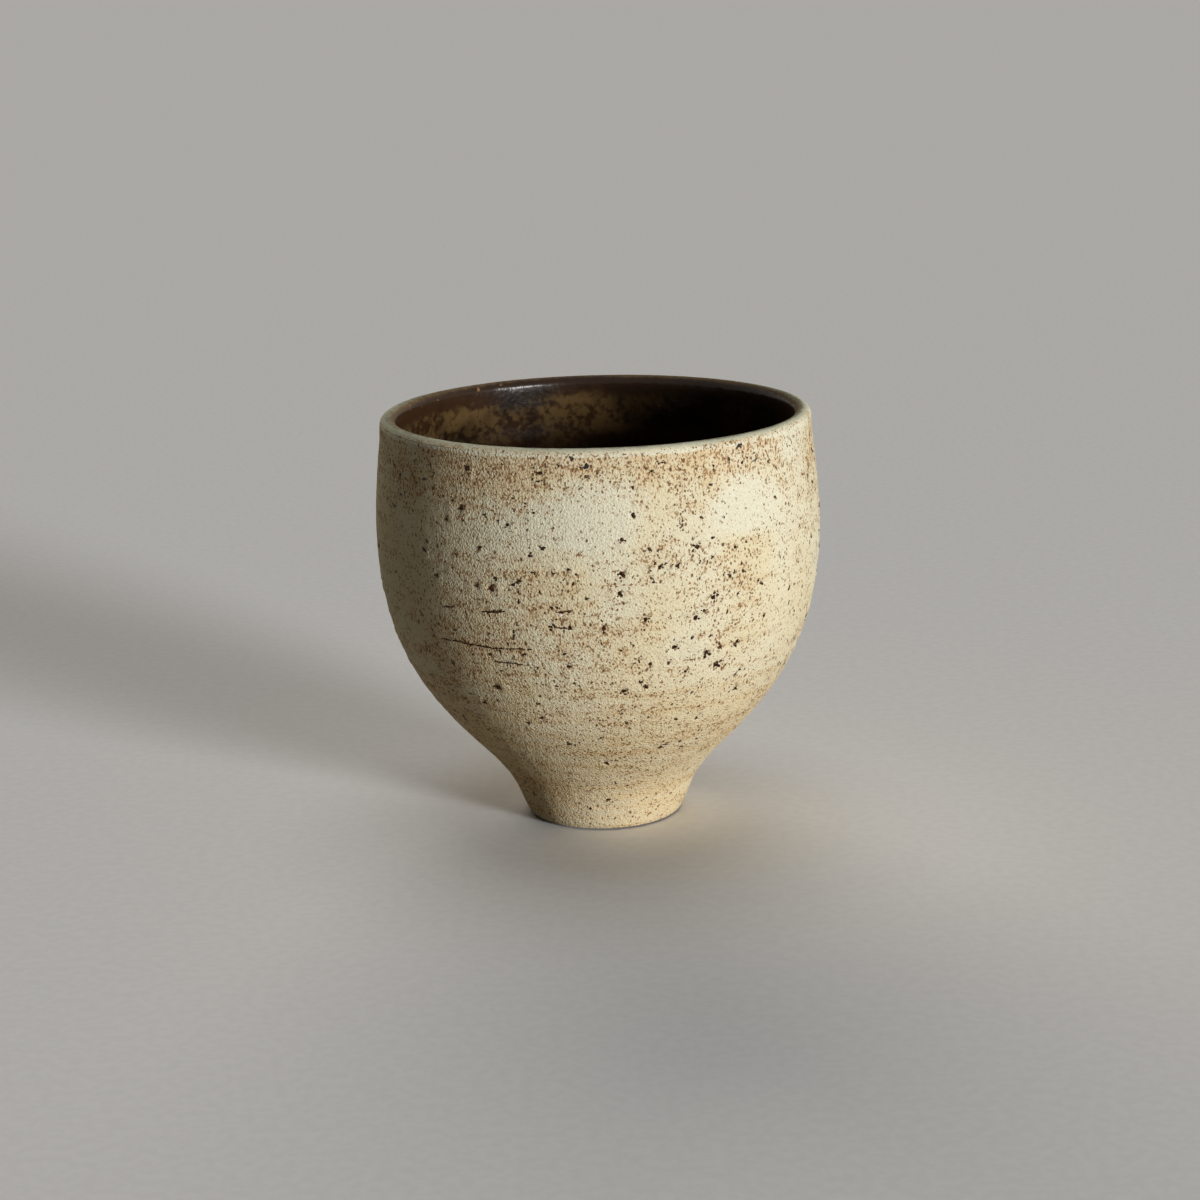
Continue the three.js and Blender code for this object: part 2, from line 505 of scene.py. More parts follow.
# The side that the picture doesn't show, in half turns and by its lowest, highest and likeliest
# height. The spots, zones and dragged lines on it are seeded, with their sizes in millimetres.
BACK_HALF_TURNS = (-0.08, 1.08)
BACK_HEIGHTS = (12 * MM, 78 * MM, 48 * MM)
UNSEEN_SPOTS = 120
UNSEEN_SPOT_WIDTHS = (0.8, 0.8, 0.9, 0.9, 1.0, 1.2, 1.3, 1.6)
UNSEEN_ZONES = 14
UNSEEN_ZONE_WIDTHS = (12, 28)
UNSEEN_ZONE_HEIGHTS = (6, 12)
UNSEEN_ZONE_SHARES = (-0.6, 0.4, 0.7)
UNSEEN_DRAGS = 7
UNSEEN_DRAG_LENGTHS = (5, 16)
UNSEEN_DRAG_SLANT = 0.12
UNSEEN_DRAG_SHAKE = 0.1
UNSEEN_CRUMB_SHARE = 0.5
# Crumbs of iron along the dragged lines, which in front shake by up to half a pixel
FRONT_DRAG_SHAKE = 0.5
FRONT_CRUMB_SHARE = 0.85
CRUMB_GAP = 0.45 * MM
CRUMB_LENGTH = 0.6 * MM
CRUMB_WIDTHS = (0.34, 0.4, 0.46, 0.52, 0.66)
SPOT_SEED = 7
BLISTER_SEED = 41

slip_outside = spaced(outside, SLIP_RING_GAP)[SLIP_FIRST_RING:]
under_glaze = sunk(lip, lip_glaze)[1:SLIP_LIP_END]
slip_face = slip_outside + under_glaze
slip_depths = feathered(slip_outside) + lip_slip[1:SLIP_LIP_END]
slip_back = sunk(slip_face, [max(0, depth - BOND_GAP) for depth in slip_depths])
hidden = slip_back[::-1][::round(SLIP_BACK_GAP / SLIP_RING_GAP)]
shown = [1] * len(slip_outside) + [0] * (len(under_glaze) + len(hidden))
slip_marks = {"shown": shown, "rust": [0] * len(shown), "crowd": [0] * len(shown)}
slip_bm = turned(slip_face + hidden, SLIP_GORES, SLIP_GORE_STEPS, True, slip_marks)
slip_bm.normal_update()
slip_skin = BVHTree.FromBMesh(slip_bm)
shown_layer = slip_bm.verts.layers.float["shown"]
rust_layer = slip_bm.verts.layers.float["rust"]
crowd_layer = slip_bm.verts.layers.float["crowd"]
face_points = [vertex for vertex in slip_bm.verts if vertex[shown_layer] > 0.5]
face_tree = KDTree(len(face_points))
for i, vertex in enumerate(face_points):
    face_tree.insert(vertex.co, i)
face_tree.balance()


def seen_on_slip(column, row):
    """The place on the slip that the picture shows at a column and row, and its normal."""
    return slip_skin.ray_cast(CAMERA_PLACE, sight_line(column, row))[:2]


def round_the_slip(turn, height):
    """The place on the slip at an angle round the cup and a height, and its normal."""
    outward = Vector((math.cos(turn), math.sin(turn), 0))
    return slip_skin.ray_cast(outward * 2 * BELLY_RADIUS + Vector((0, 0, height)), -outward)[:2]


def at_the_back(chance):
    """An angle and a height on the side that the picture doesn't show."""
    return chance.uniform(*BACK_HALF_TURNS) * math.pi, chance.triangular(*BACK_HEIGHTS)


def any_way(chance, normal):
    """A random direction along the surface."""
    level = Vector((-normal.y, normal.x, 0)).normalized()
    return Matrix.Rotation(chance.uniform(0, math.tau), 3, normal) @ level


chance = random.Random(SPOT_SEED)
spots = [
    (*seen_on_slip(column, row), width * chance.uniform(0.88, 1.12))
    for width, picture_places in FRONT_SPOTS.items()
    for column, row in picture_places
]
for _ in range(UNSEEN_SPOTS):
    width = chance.choice(UNSEEN_SPOT_WIDTHS) * MM
    spots.append((*round_the_slip(*at_the_back(chance)), width))

zones = [
    (seen_on_slip(column, row)[0], width * MM, tall * MM, share)
    for column, row, width, tall, share in FRONT_ZONES
]
for _ in range(UNSEEN_ZONES):
    turn, height = at_the_back(chance)
    width = chance.uniform(*UNSEEN_ZONE_WIDTHS) * MM
    tall = chance.uniform(*UNSEEN_ZONE_HEIGHTS) * MM
    middle = round_the_slip(turn, height)[0]
    zones.append((middle, width, tall, chance.choice(UNSEEN_ZONE_SHARES)))

crumbs = []


def strew(sites, share):
    """Leaves a sliver of iron at a share of the sites along a dragged line."""
    for (site, normal), (ahead, _) in zip(sites, sites[1:]):
        if chance.random() < share:
            width = chance.choice(CRUMB_WIDTHS) * chance.uniform(0.85, 1.15) * MM
            crumbs.append((site, normal, ahead - site, width, CRUMB_LENGTH / width))


for line in DRAG_LINES:
    for (column, row), (last_column, last_row) in zip(line, line[1:]):
        start, end = seen_on_slip(column, row)[0], seen_on_slip(last_column, last_row)[0]
        count = max(2, round((end - start).length / CRUMB_GAP))
        places = [
            seen_on_slip(
                column + (last_column - column) * i / count,
                row + (last_row - row) * i / count
                + chance.uniform(-FRONT_DRAG_SHAKE, FRONT_DRAG_SHAKE),
            )
            for i in range(count + 1)
        ]
        strew(places, FRONT_CRUMB_SHARE)
for _ in range(UNSEEN_DRAGS):
    turn, height = at_the_back(chance)
    count = round(chance.uniform(*UNSEEN_DRAG_LENGTHS) * MM / CRUMB_GAP)
    slant = chance.uniform(-UNSEEN_DRAG_SLANT, UNSEEN_DRAG_SLANT) * CRUMB_GAP
    places = [
        round_the_slip(
            turn + i * CRUMB_GAP / BELLY_RADIUS,
            height + i * slant + chance.uniform(-UNSEEN_DRAG_SHAKE, UNSEEN_DRAG_SHAKE) * MM,
        )
        for i in range(count)
    ]
    strew(places, UNSEEN_CRUMB_SHARE)

depth_at = []
for vertex in face_points:
    sand = noise.fractal(vertex.co / SAND_SIZE, 1, 2, 2)
    across = Vector((vertex.co.x / BRUSH_STRETCH, vertex.co.y / BRUSH_STRETCH, vertex.co.z))
    brush = noise.noise(across / BRUSH_SIZE)
    wander = noise.noise(vertex.co / WANDER_SIZE)
    depth = SLIP_LEVEL + SAND_DEPTH * sand + BRUSH_DEPTH * brush + WANDER_DEPTH * wander
    calm = min(1, max(CALMEST, (lip_height - vertex.co.z) / CALM_COLLAR))
    depth_at.append(depth * calm)
    vertex[crowd_layer] = CROWD_MIDDLE + CROWD_SWING * noise.noise(vertex.co / CROWD_PATCH)
for middle, width, tall, share in zones:
    for point, i, _ in face_tree.find_range(middle, width):
        rise = (point.z - middle.z) / tall
        aside = Vector((point.x - middle.x, point.y - middle.y)).length / width
        falloff = math.exp(-ZONE_FALLOFF * (rise * rise + aside * aside))
        face_points[i][crowd_layer] += share * falloff
blister_chance = random.Random(BLISTER_SEED)
for spot, normal, width in spots:
    blister = spot + any_way(blister_chance, normal) * BLISTER_ASIDE * width
    reach = BLISTER_SPREAD * width
    for _, i, away in face_tree.find_range(blister, reach):
        depth_at[i] -= BLISTER_RISE * (1 - (away / reach) ** 2) ** 2
    for _, i, away in face_tree.find_range(spot, RUST_SPREAD * width):
        bowl_share = max(0, 1 - (away / (CRATER_SPREAD * width)) ** 2)
        depth_at[i] += CRATER_DEPTH * bowl_share
        rust = max(0, 1 - away / (RUST_SPREAD * width)) ** RUST_FALLOFF
        face_points[i][rust_layer] = max(face_points[i][rust_layer], rust)
for crumb, *_ in crumbs:
    for _, i, away in face_tree.find_range(crumb, DRAG_SPREAD):
        groove = (1 - away / DRAG_SPREAD) ** 2
        depth_at[i] = max(depth_at[i], SLIP_LEVEL + DRAG_DEPTH * groove)
        face_points[i][rust_layer] = max(face_points[i][rust_layer], DRAG_RUST * groove)
normals = [vertex.normal.copy() for vertex in face_points]
for vertex, normal, depth in zip(face_points, normals, depth_at):
    vertex.co -= normal * min(DEEPEST, max(0, depth))


def stretched(tree, where, stretch):
    """Coordinates scaled on each axis, so that a pattern on them is drawn out."""
    node = tree.nodes.new("ShaderNodeMapping")
    feed(tree, node.inputs["Vector"], where)
    node.inputs["Scale"].default_value = stretch
    return node.outputs[0]


def swing(tree, cloud, amount):
    """Soft noise as a value that swings by an amount to either side of nought."""
    return fade(tree, cloud, 0.3, 0.7, -amount, amount)


def by_crowd(tree, crowd, sparse, dense):
    """A value that goes from sparse to dense as the specks crowd together."""
    return fade(tree, crowd, LEAST_CROWD, MOST_CROWD, sparse, dense)


def slip_crowd(tree, where, height, crowd_mark):
    """How thickly the slip is specked, and the brush's streaks in it.

    There are more specks where it lies thin, in the streaks, low down and in a band under the rim.
    """
    streaks = clouds(tree, stretched(tree, where, STREAK_STRETCH), 1.6 * MM, 3)
    mottle = clouds(tree, stretched(tree, where, MOTTLE_STRETCH), 2.0 * MM, 3)
    thin_places = fade(tree, clouds(tree, where, 12 * MM, 3), 0.36, 0.62, 0.3, 0.75)
    thin_band = sums(tree, "MULTIPLY", fade(tree, height, *RIM_BAND), thin_places)
    crowd = sums(tree, "ADD", crowd_mark, swing(tree, streaks, 0.32))
    crowd = sums(tree, "ADD", crowd, swing(tree, mottle, 0.44))
    crowd = sums(tree, "ADD", crowd, thin_band)
    crowd = sums(tree, "ADD", crowd, fade(tree, height, *LOW_BELLY, 0, 0.22))
    return sums(tree, "MULTIPLY", crowd, fade(tree, height, *WIPED_FOOT, 0.75, 1)), streaks


def slip_ground(tree, where, height, crowd_mark, crowd, streaks):
    """The slip's colour between its specks.

    It is cream where it is thick, warmer in patches, ochre low down and rusty where specks crowd.
    """
    patches = fade(tree, clouds(tree, where, 14 * MM, 3), 0.36, 0.64, 0.4, 1)
    warmth = sums(tree, "MULTIPLY", patches, fade(tree, crowd_mark, 0, 0.6))
    tone = tint(tree, warmth, CREAM, WARM_CREAM)
    low_down = fade(tree, height, *OCHRE_REACH)
    ochre_share = sums(tree, "MULTIPLY", fade(tree, streaks, 0.38, 0.64, 0.45, 1), low_down)
    tone = tint(tree, ochre_share, tone, OCHRE, most=0.75)
    tone = tint(tree, fade(tree, crowd, 0.5, 1.8, 0, 0.35), tone, BLUSH)
    # A fine darker mottle: partly the sand's own tone, partly painted shadow of the grains
    sand_tone_and_shadow = clouds(tree, where, 0.36 * MM)
    return tint(tree, fade(tree, sand_tone_and_shadow, 0.36, 0.6, 0.3, 0), tone, SAND_TONE_AND_SHADOW)


def slip_specks(tree, where, crowd, tone):
    """Iron dust and grit over the ground colour: the colour, the dust, the pits and the soot."""
    upright = stretched(tree, where, SPECK_STRETCH)
    tan_level = by_crowd(tree, crowd, 0.61, 0.53)
    tan_dust = specks(tree, clouds(tree, where, 0.32 * MM, 3), tan_level, 0.1)
    dust_level = by_crowd(tree, crowd, 0.64, 0.535)
    dust = specks(tree, clouds(tree, upright, 0.45 * MM), dust_level, 0.06)
    rust_level = by_crowd(tree, crowd, 0.69, 0.625)
    rust_grit = specks(tree, clouds(tree, upright, 0.85 * MM), rust_level, 0.04)
    torn = ragged(tree, upright, size=0.35 * MM, reach=0.38 * MM)
    pepper_share = by_crowd(tree, crowd, 0.05, 0.85)
    pepper = flecks(tree, torn, 0.5 * MM, 0.06 * MM, 0.23 * MM, pepper_share, edge=0.12)
    grain_share = by_crowd(tree, crowd, 0.05, 1)
    grains = flecks(tree, torn, 1.0 * MM, 0.1 * MM, 0.32 * MM, grain_share, edge=0.1)
    coarse = clouds(tree, ragged(tree, where, size=0.7 * MM, reach=0.4 * MM), 1.6 * MM, 3)
    grit_level = by_crowd(tree, crowd, 0.71, 0.64)
    grit = specks(tree, coarse, grit_level, 0.035)
    soot = specks(tree, coarse, sums(tree, "ADD", grit_level, 0.02), 0.025)
    burnt_share = clouds(tree, where, 1.1 * MM)
    pepper_tone = tint(tree, fade(tree, burnt_share, 0.46, 0.62), RUST_DUST, BROWN)
    grain_tone = tint(tree, fade(tree, burnt_share, 0.42, 0.6), RUST, BROWN)
    tone = tint(tree, tan_dust, tone, TAN_DUST, most=0.33)
    tone = tint(tree, dust, tone, RUST_DUST, most=0.85)
    tone = tint(tree, rust_grit, tone, RUST, most=0.9)
    tone = tint(tree, pepper, tone, pepper_tone, most=0.9)
    tone = tint(tree, grains, tone, grain_tone, most=0.9)
    tone = tint(tree, grit, tone, BROWN)
    pits = sums(tree, "MAXIMUM", grains, grit)
    pits = sums(tree, "MAXIMUM", sums(tree, "MULTIPLY", pepper, 0.6), pits)
    return tint(tree, soot, tone, SOOT), dust, pits, soot


slip_finish, tree, surface, where = new_finish("speckled_slip")
split = tree.nodes.new("ShaderNodeSeparateXYZ")
feed(tree, split.inputs[0], where)
height = split.outputs[2]
crowd_mark = mark(tree, "crowd")
crowd, streaks = slip_crowd(tree, where, height, crowd_mark)
tone = slip_ground(tree, where, height, crowd_mark, crowd, streaks)
rust_near_spots = mark(tree, "rust")
patchy = fade(tree, clouds(tree, where, 0.8 * MM, 3), 0.35, 0.65, -0.6, 0.5)
burnt = sums(tree, "ADD", rust_near_spots, patchy)
tone = tint(tree, fade(tree, burnt, 0.75, 1.15, 0, 0.75), tone, BURNT)
drowned = flecks(
    tree, where, spacing=11 * MM, small=0.4 * MM, large=0.9 * MM, share=0.22, edge=0.05
)
tone = tint(tree, drowned, tone, DROWNED_GREY, most=0.5)
tone, dust, pits, soot = slip_specks(tree, where, crowd, tone)
feed(tree, surface["Base Color"], tone)
feed(tree, surface["Roughness"], fade(tree, soot, 0, 1, 0.92, 0.45))
surface["Specular IOR Level"].default_value = 0.25
sand = tree.nodes.new("ShaderNodeTexVoronoi")
feed(tree, sand.inputs["Vector"], where)
sand.inputs["Scale"].default_value = 1 / (0.42 * MM)
worn = sums(tree, "MULTIPLY", clouds(tree, where, 0.5 * MM, 4), 1.1)
grain = sums(tree, "ADD", fade(tree, sand.outputs["Distance"], 0.8, 0, 0, 0.6), worn)
pits = sums(tree, "ADD", sums(tree, "MULTIPLY", dust, 0.25), pits)
grain = sums(tree, "SUBTRACT", grain, sums(tree, "MULTIPLY", pits, 0.65))
feed(tree, surface["Normal"], bumped(tree, grain, strength=1, reach=0.12 * MM))

slip = finished(slip_bm, "slip", slip_finish)
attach(slip, "root")
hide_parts("slip_coat")

# Iron spots: grains of iron ore in the clay that melted in the fire and burst up through the slip.
# Each is a lumpy glassy bead sunk in its crater, and crumbs of them lie along the dragged lines.
BEAD_RISE = 0.3
BEAD_TOP = 0.06 * MM
BEAD_LUMPS = 0.42
FINE_BEAD_WIDTH = 0.7 * MM
CORE_WIDTH = 0.78
CORE_STRETCH = (0.9, 1.4)
LUMP_WIDTH = (0.28, 0.55)
LUMP_STRETCH = (0.8, 1.8)
LUMP_ASIDE = (0.3, 0.65)
BIG_SPOT_WIDTH = 1 * MM
BIG_SPOT_LUMPS = (2, 3, 4)
SMALL_SPOT_LUMPS = (1, 2)
LUMP_SEED = 3
BEAD_SEED = 11
IRON_BLACK = (0.02, 0.009, 0.004, 1)
IRON_BROWN = (0.08, 0.032, 0.012, 1)
IRON_GREY_AND_SHEEN = (0.18, 0.15, 0.125, 1)


def beads(sites, seed, rise, top, lumps):
    """Lumpy flattened beads, one bedded at each site, drawn out along a line by a stretch."""
    chance = random.Random(seed)
    bm = bmesh.new()
    for spot, normal, along, width, stretch in sites:
        tall = rise * width
        side = normal.cross(along).normalized()
        turn = Matrix((side.cross(normal), side, normal)).transposed().to_4x4()
        bed = Matrix.Translation(spot - normal * (tall + top)) @ turn
        size = Matrix.Diagonal((width / 2 * stretch, width / 2, tall, 1))
        fineness = 2 if width > FINE_BEAD_WIDTH else 1
        made = bmesh.ops.create_icosphere(bm, subdivisions=fineness, radius=1)
        for vertex in made["verts"]:
            vertex.co *= chance.uniform(1 - lumps, 1)
        bmesh.ops.transform(bm, matrix=bed @ size, verts=made["verts"])
    return bm


lumps_of_iron = []
lump_chance = random.Random(LUMP_SEED)
for spot, normal, width in spots:
    stretch = lump_chance.uniform(*CORE_STRETCH)
    along = any_way(lump_chance, normal)
    lumps_of_iron.append((spot, normal, along, CORE_WIDTH * width, stretch))
    lump_counts = BIG_SPOT_LUMPS if width > BIG_SPOT_WIDTH else SMALL_SPOT_LUMPS
    for _ in range(lump_chance.choice(lump_counts)):
        aside = any_way(lump_chance, normal)
        site = slip_skin.find_nearest(spot + aside * lump_chance.uniform(*LUMP_ASIDE) * width)[0]
        part = width * lump_chance.uniform(*LUMP_WIDTH)
        lumps_of_iron.append((site, normal, aside, part, lump_chance.uniform(*LUMP_STRETCH)))

iron_finish, tree, surface, where = new_finish("melted_iron")
browned = fade(tree, clouds(tree, where, 0.9 * MM), 0.42, 0.6)
iron_tone = tint(tree, browned, IRON_BLACK, IRON_BROWN)
# Grey patches on the iron: partly its own grey facets, partly a painted sheen in place of glints
grey_and_sheen = fade(tree, clouds(tree, where, 1.1 * MM, 3), 0.58, 0.68)
feed(tree, surface["Base Color"], tint(tree, grey_and_sheen, iron_tone, IRON_GREY_AND_SHEEN, most=0.6))
feed(tree, surface["Roughness"], fade(tree, clouds(tree, where, 0.3 * MM), 0.3, 0.7, 0.4, 0.75))
surface["Specular IOR Level"].default_value = 0.08

iron_bm = beads(lumps_of_iron + crumbs, BEAD_SEED, BEAD_RISE, BEAD_TOP, BEAD_LUMPS)
iron_spots = finished(iron_bm, "iron_spots", iron_finish)
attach(iron_spots, "root")

# Feldspar grains: a few coarse white grains of the clay's grog that show at the slip's face.
# They are rounded, glassy at the surface, and stand just level with it.
FRONT_GRAINS = (
    (427, 552), (534, 462), (485, 452), (560, 616), (572, 724), (814, 552), (529, 664),
)
UNSEEN_GRAINS = 9
GRAIN_WIDTH = 1.0 * MM
GRAIN_RISE = 0.35
GRAIN_LUMPS = 0.15
GRAIN_SEED = 23
GRAIN_LUMP_SEED = 29
FELDSPAR_WHITE = (0.80, 0.78, 0.72, 1)
FELDSPAR_CLOUDED = (0.62, 0.56, 0.46, 1)

grain_chance = random.Random(GRAIN_SEED)
sites = [seen_on_slip(*picture_place) for picture_place in FRONT_GRAINS]
sites += [round_the_slip(*at_the_back(grain_chance)) for _ in range(UNSEEN_GRAINS)]
grains = []
for site, normal in sites:
    width = GRAIN_WIDTH * grain_chance.uniform(0.7, 1.1)
    along = any_way(grain_chance, normal)
    grains.append((site, normal, along, width, grain_chance.uniform(0.9, 1.3)))

grain_finish, tree, surface, where = new_finish("feldspar")
milky = fade(tree, clouds(tree, where, 0.5 * MM), 0.35, 0.65)
feed(tree, surface["Base Color"], tint(tree, milky, FELDSPAR_WHITE, FELDSPAR_CLOUDED))
surface["Roughness"].default_value = 0.35

grain_bm = beads(grains, GRAIN_LUMP_SEED, GRAIN_RISE, BEAD_TOP, GRAIN_LUMPS)
feldspar = finished(grain_bm, "feldspar_grains", grain_finish)
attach(feldspar, "root")

# Glaze lining: iron glaze poured in and drained, dark brown and glossy where it is thick. It broke
# to ochre on the throwing rings, and runs out over the lip as a thin olive film on the slip.
GLAZE_RING_GAP = 0.85 * MM
GLAZE_BACK_GAP = 4 * MM
GLAZE_GORES = 24
GLAZE_GORE_STEPS = 16
FILM_START = 3
THROWING_PITCH = 6.5 * MM
THROWING_DEPTH = 0.16 * MM
THROWING_WANDER = 1.5
THROWING_WANDER_SIZE = 20 * MM
CALM_MIDDLE = 6 * MM
PEEL_SIZE = 2 * MM
PEEL_DEPTH = 0.04 * MM
LIP_WAVER = 0.1 * MM
LIP_WAVER_SIZE = 12 * MM
LIP_CROWD = 0.3
RING_STRETCH = (0.35, 0.35, 1)
GLAZE_DARK = (0.01, 0.0055, 0.003, 1)
GLAZE_BROWN = (0.034, 0.016, 0.007, 1)
GLAZE_OCHRE = (0.115, 0.07, 0.026, 1)
LIP_WASH = (0.53, 0.525, 0.385, 1)
LIP_OLIVE = (0.22, 0.21, 0.145, 1)
LIP_BROWN = (0.12, 0.074, 0.031, 1)
LIP_TAN = (0.22, 0.12, 0.05, 1)

# Millimetres along the glaze from its thin edge on the lip, where it gets its full thickness,
# where the throwing rings begin, and where each tone comes in or goes out
FEATHER_RUN = 4
RINGS_BEGIN = 6
RINGS_PASSAGE = 8
WASH_RUN = (0.7, 2.0)
OLIVE_RUN = (1.9, 2.9)
BROWN_RUN = (2.9, 3.8)
THICK_RUN = (3.6, 4.8)
TAN_RUN = (3.4, 4.2)
TAN_END = (7, 5)
COLLAR_END = (9, 4)
OCHRE_RUN = (7, 9.5)
OCHRE_END = (19, 13)
DEEP_RUN = (26, 40)

glaze_inside = spaced(inside, GLAZE_RING_GAP)
glaze_face = lip[FILM_START:] + glaze_inside[1:]
glaze_depths = lip_glaze[FILM_START:] + [GLAZE_THICKNESS] * (len(glaze_inside) - 1)
glaze_back = sunk(glaze_face, [max(0, depth - BOND_GAP) for depth in glaze_depths])
thinned = glaze_back[:LIP_STEPS] + glaze_back[LIP_STEPS::round(GLAZE_BACK_GAP / GLAZE_RING_GAP)]
if thinned[-1] is not glaze_back[-1]:
    thinned.append(glaze_back[-1])
steps = [(after - before).length for before, after in zip(glaze_face, glaze_face[1:])]
film_run = (lip[FILM_START] - lip[0]).length
run = [film_run + sum(steps[:i]) for i in range(len(glaze_face))]
glaze_line = thinned[::-1] + glaze_face
glaze_marks = {
    "run": [0] * len(thinned) + [length / MM for length in run],
    "wet": [0] * len(thinned) + [1] * len(glaze_face),
}
glaze_bm = turned(glaze_line, GLAZE_GORES, GLAZE_GORE_STEPS, False, glaze_marks)
glaze_bm.normal_update()
run_layer = glaze_bm.verts.layers.float["run"]
wet_layer = glaze_bm.verts.layers.float["wet"]
for vertex in glaze_bm.verts:
    if vertex[wet_layer] < 0.5:
        continue
    turn = math.atan2(vertex.co.y, vertex.co.x)
    below_lip = max(0, min(1, (vertex[run_layer] - RINGS_BEGIN) / RINGS_PASSAGE))
    out = min(1, math.hypot(vertex.co.x, vertex.co.y) / CALM_MIDDLE)
    spiral = vertex[run_layer] * MM / THROWING_PITCH * math.tau + turn
    spiral += THROWING_WANDER * noise.noise(vertex.co / THROWING_WANDER_SIZE)
    rings = THROWING_DEPTH * (0.5 + 0.5 * math.sin(spiral))
    peel = PEEL_DEPTH * (1 + noise.noise(vertex.co / PEEL_SIZE))
    waver = LIP_WAVER * (0.5 + 0.5 * noise.noise(vertex.co / LIP_WAVER_SIZE)) * (1 - below_lip)
    feather = min(1, vertex[run_layer] / FEATHER_RUN)
    vertex.co -= vertex.normal * feather * (rings * below_lip * out + peel + waver)

glaze_finish, tree, surface, where = new_finish("iron_glaze")
split = tree.nodes.new("ShaderNodeSeparateXYZ")
feed(tree, split.inputs[0], where)
slow_waver = swing(tree, clouds(tree, where, 26 * MM), 0.3)
fine_waver = swing(tree, clouds(tree, where, 1.2 * MM, 3), 0.25)
poured_side = fade(tree, split.outputs[1], 5 * MM, 40 * MM, 0, 0.8)
edge_run = sums(tree, "ADD", mark(tree, "run"), sums(tree, "ADD", slow_waver, fine_waver))
edge_run = sums(tree, "ADD", edge_run, poured_side)
film = fade(tree, edge_run, *WASH_RUN)
olive = fade(tree, edge_run, *OLIVE_RUN)
browning = fade(tree, edge_run, *BROWN_RUN)
thick = fade(tree, edge_run, *THICK_RUN)

pooled = fade(tree, clouds(tree, where, 20 * MM, 3), 0.42, 0.58)
deep_tone = tint(tree, pooled, GLAZE_BROWN, GLAZE_DARK)
ring_streaks = clouds(tree, stretched(tree, where, RING_STRETCH), 4 * MM, 4)
grainy = swing(tree, clouds(tree, where, 1.5 * MM, 4), 0.24)
broken = fade(tree, sums(tree, "ADD", ring_streaks, grainy), 0.3, 0.7)
upper_wall = fade(tree, edge_run, *OCHRE_END, 0.4, 1)
ring_zone = sums(tree, "MULTIPLY", fade(tree, edge_run, *OCHRE_RUN), upper_wall)
deep_in_bowl = fade(tree, edge_run, *DEEP_RUN)
ring_zone = sums(tree, "MAXIMUM", ring_zone, deep_in_bowl)
broken = sums(tree, "MULTIPLY", broken, ring_zone)
broken = sums(tree, "MULTIPLY", broken, fade(tree, pooled, 0, 1, 1, 0.35))
# Painted shade: the ochre breaks fade to under half towards the right-hand inner wall, which faces
# away from the key light
painted_shade_on_right = fade(tree, split.outputs[0], -8 * MM, 20 * MM, 1, 0.45)
broken = sums(tree, "MULTIPLY", broken, painted_shade_on_right)
deep_tone = tint(tree, deep_in_bowl, deep_tone, GLAZE_BROWN, most=0.7)
deep_tone = tint(tree, broken, deep_tone, GLAZE_OCHRE, most=0.85)
deep_tone = tint(tree, fade(tree, edge_run, *COLLAR_END, 0, 0.6), deep_tone, GLAZE_BROWN)

crowd, streaks = slip_crowd(tree, where, split.outputs[2], LIP_CROWD)
slip_below = slip_ground(tree, where, split.outputs[2], LIP_CROWD, crowd, streaks)
slip_below = slip_specks(tree, where, crowd, slip_below)[0]
lip_tone = tint(tree, film, slip_below, LIP_WASH)
lip_tone = tint(tree, olive, lip_tone, LIP_OLIVE)
lip_tone = tint(tree, browning, lip_tone, LIP_BROWN)
glaze_tone = tint(tree, thick, lip_tone, deep_tone)
inner_edge = fade(tree, edge_run, *TAN_RUN)
inner_edge = sums(tree, "MULTIPLY", inner_edge, fade(tree, edge_run, *TAN_END))
tan_flecks = specks(tree, clouds(tree, where, 1.6 * MM, 3), 0.63, 0.08)
splashed = fade(tree, split.outputs[0], -8 * MM, -24 * MM)
tan_share = sums(tree, "MULTIPLY", sums(tree, "MULTIPLY", inner_edge, splashed), tan_flecks)
feed(tree, surface["Base Color"], tint(tree, tan_share, glaze_tone, LIP_TAN))
feed(tree, surface["Roughness"], fade(tree, thick, 0, 1, 0.8, 0.28))
surface["Specular IOR Level"].default_value = 0.3
pinholes = flecks(tree, where, spacing=2.2 * MM, small=0.08 * MM, large=0.2 * MM, share=0.3)
skin = sums(tree, "SUBTRACT", clouds(tree, where, 1.6 * MM, 3), pinholes)
feed(tree, surface["Normal"], bumped(tree, skin, strength=0.8, reach=0.13 * MM))

glaze = finished(glaze_bm, "glaze", glaze_finish)
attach(glaze, "root")
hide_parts("glaze_lining")

# Floor: a wide flat sheet of pale grey card that the cup stands on.
# It is only the stage: pale where it is seen or mirrored, but it throws little light on the cup.
CARD_HALF_WIDTH = 40
PALE_CARD = (0.78, 0.78, 0.78, 1)
CARD_FIBRE = (0.75, 0.75, 0.75, 1)
THROWN_BACK = (0.29, 0.266, 0.228, 1)

card_bm = bmesh.new()
bmesh.ops.create_grid(card_bm, x_segments=1, y_segments=1, size=CARD_HALF_WIDTH)


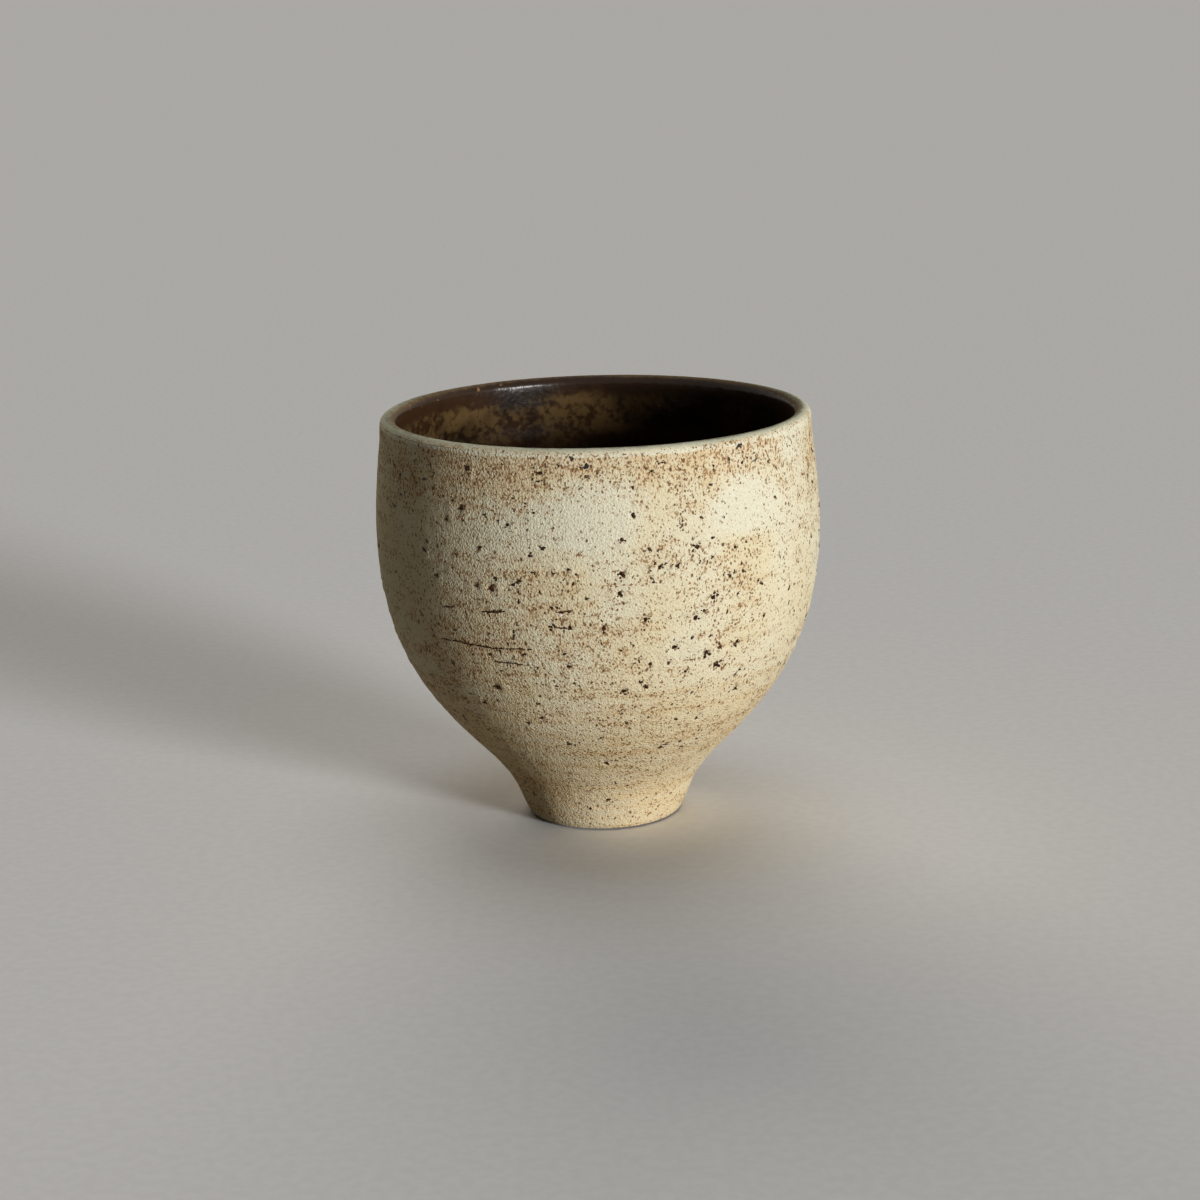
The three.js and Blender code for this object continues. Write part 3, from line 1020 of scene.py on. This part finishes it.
def where_seen(tree):
    """Whether a ray comes from the camera, straight or by way of a shiny or clear surface."""
    ray = tree.nodes.new("ShaderNodeLightPath").outputs
    seen = sums(tree, "MAXIMUM", ray["Is Camera Ray"], ray["Is Glossy Ray"])
    return sums(tree, "MAXIMUM", seen, ray["Is Transmission Ray"])


card_finish, tree, surface, where = new_finish("pale_card")
fibres = fade(tree, clouds(tree, where, 2 * MM, 4), 0.35, 0.65)
card_tone = tint(tree, fibres, PALE_CARD, CARD_FIBRE)
feed(tree, surface["Base Color"], tint(tree, where_seen(tree), THROWN_BACK, card_tone))
surface["Roughness"].default_value = 1
surface["Specular IOR Level"].default_value = 0
card = finished(card_bm, "floor", card_finish)

# Studio light: one soft light from low on the right, weaker ones behind and above that show the
# far side and the bowl, and a faint warm surround. They stand far off, so the card is evenly lit.
LAMPS = {
    "key": {"turn": 44.5, "lift": 8.5, "spread": 14, "strength": 3.27, "colour": (1, 1, 1)},
    "back": {"turn": 188, "lift": 22, "spread": 45, "strength": 1.5, "colour": (1, 0.93, 0.82)},
    "top": {"turn": 180, "lift": 80, "spread": 40, "strength": 0.55, "colour": (1, 1, 1)},
}
SURROUND_LEVEL = 0.025
SURROUND_COLOUR = (1, 0.89, 0.70, 1)
HORIZON_GREY = (0.405, 0.394, 0.375, 1)

for name, lamp in LAMPS.items():
    turn = math.radians(lamp["turn"])
    lift = math.radians(lamp["lift"])
    level = math.cos(lift)
    toward = Vector((math.sin(turn) * level, -math.cos(turn) * level, math.sin(lift)))
    data = bpy.data.lights.new(name, "SUN")
    data.angle = math.radians(lamp["spread"])
    data.energy = lamp["strength"]
    data.color = lamp["colour"]
    light = bpy.data.objects.new(name, data)
    light.rotation_euler = toward.to_track_quat("Z", "Y").to_euler()
    light.visible_glossy = name == "key"
    bpy.context.scene.collection.objects.link(light)

world = bpy.data.worlds.new("surround")
world.use_nodes = True
tree = world.node_tree
background = tree.nodes["Background"].inputs
seen = where_seen(tree)
feed(tree, background["Color"], tint(tree, seen, SURROUND_COLOUR, HORIZON_GREY))
feed(tree, background["Strength"], fade(tree, seen, 0, 1, SURROUND_LEVEL, 1))
bpy.context.scene.world = world
bpy.context.scene.view_settings.view_transform = "Standard"
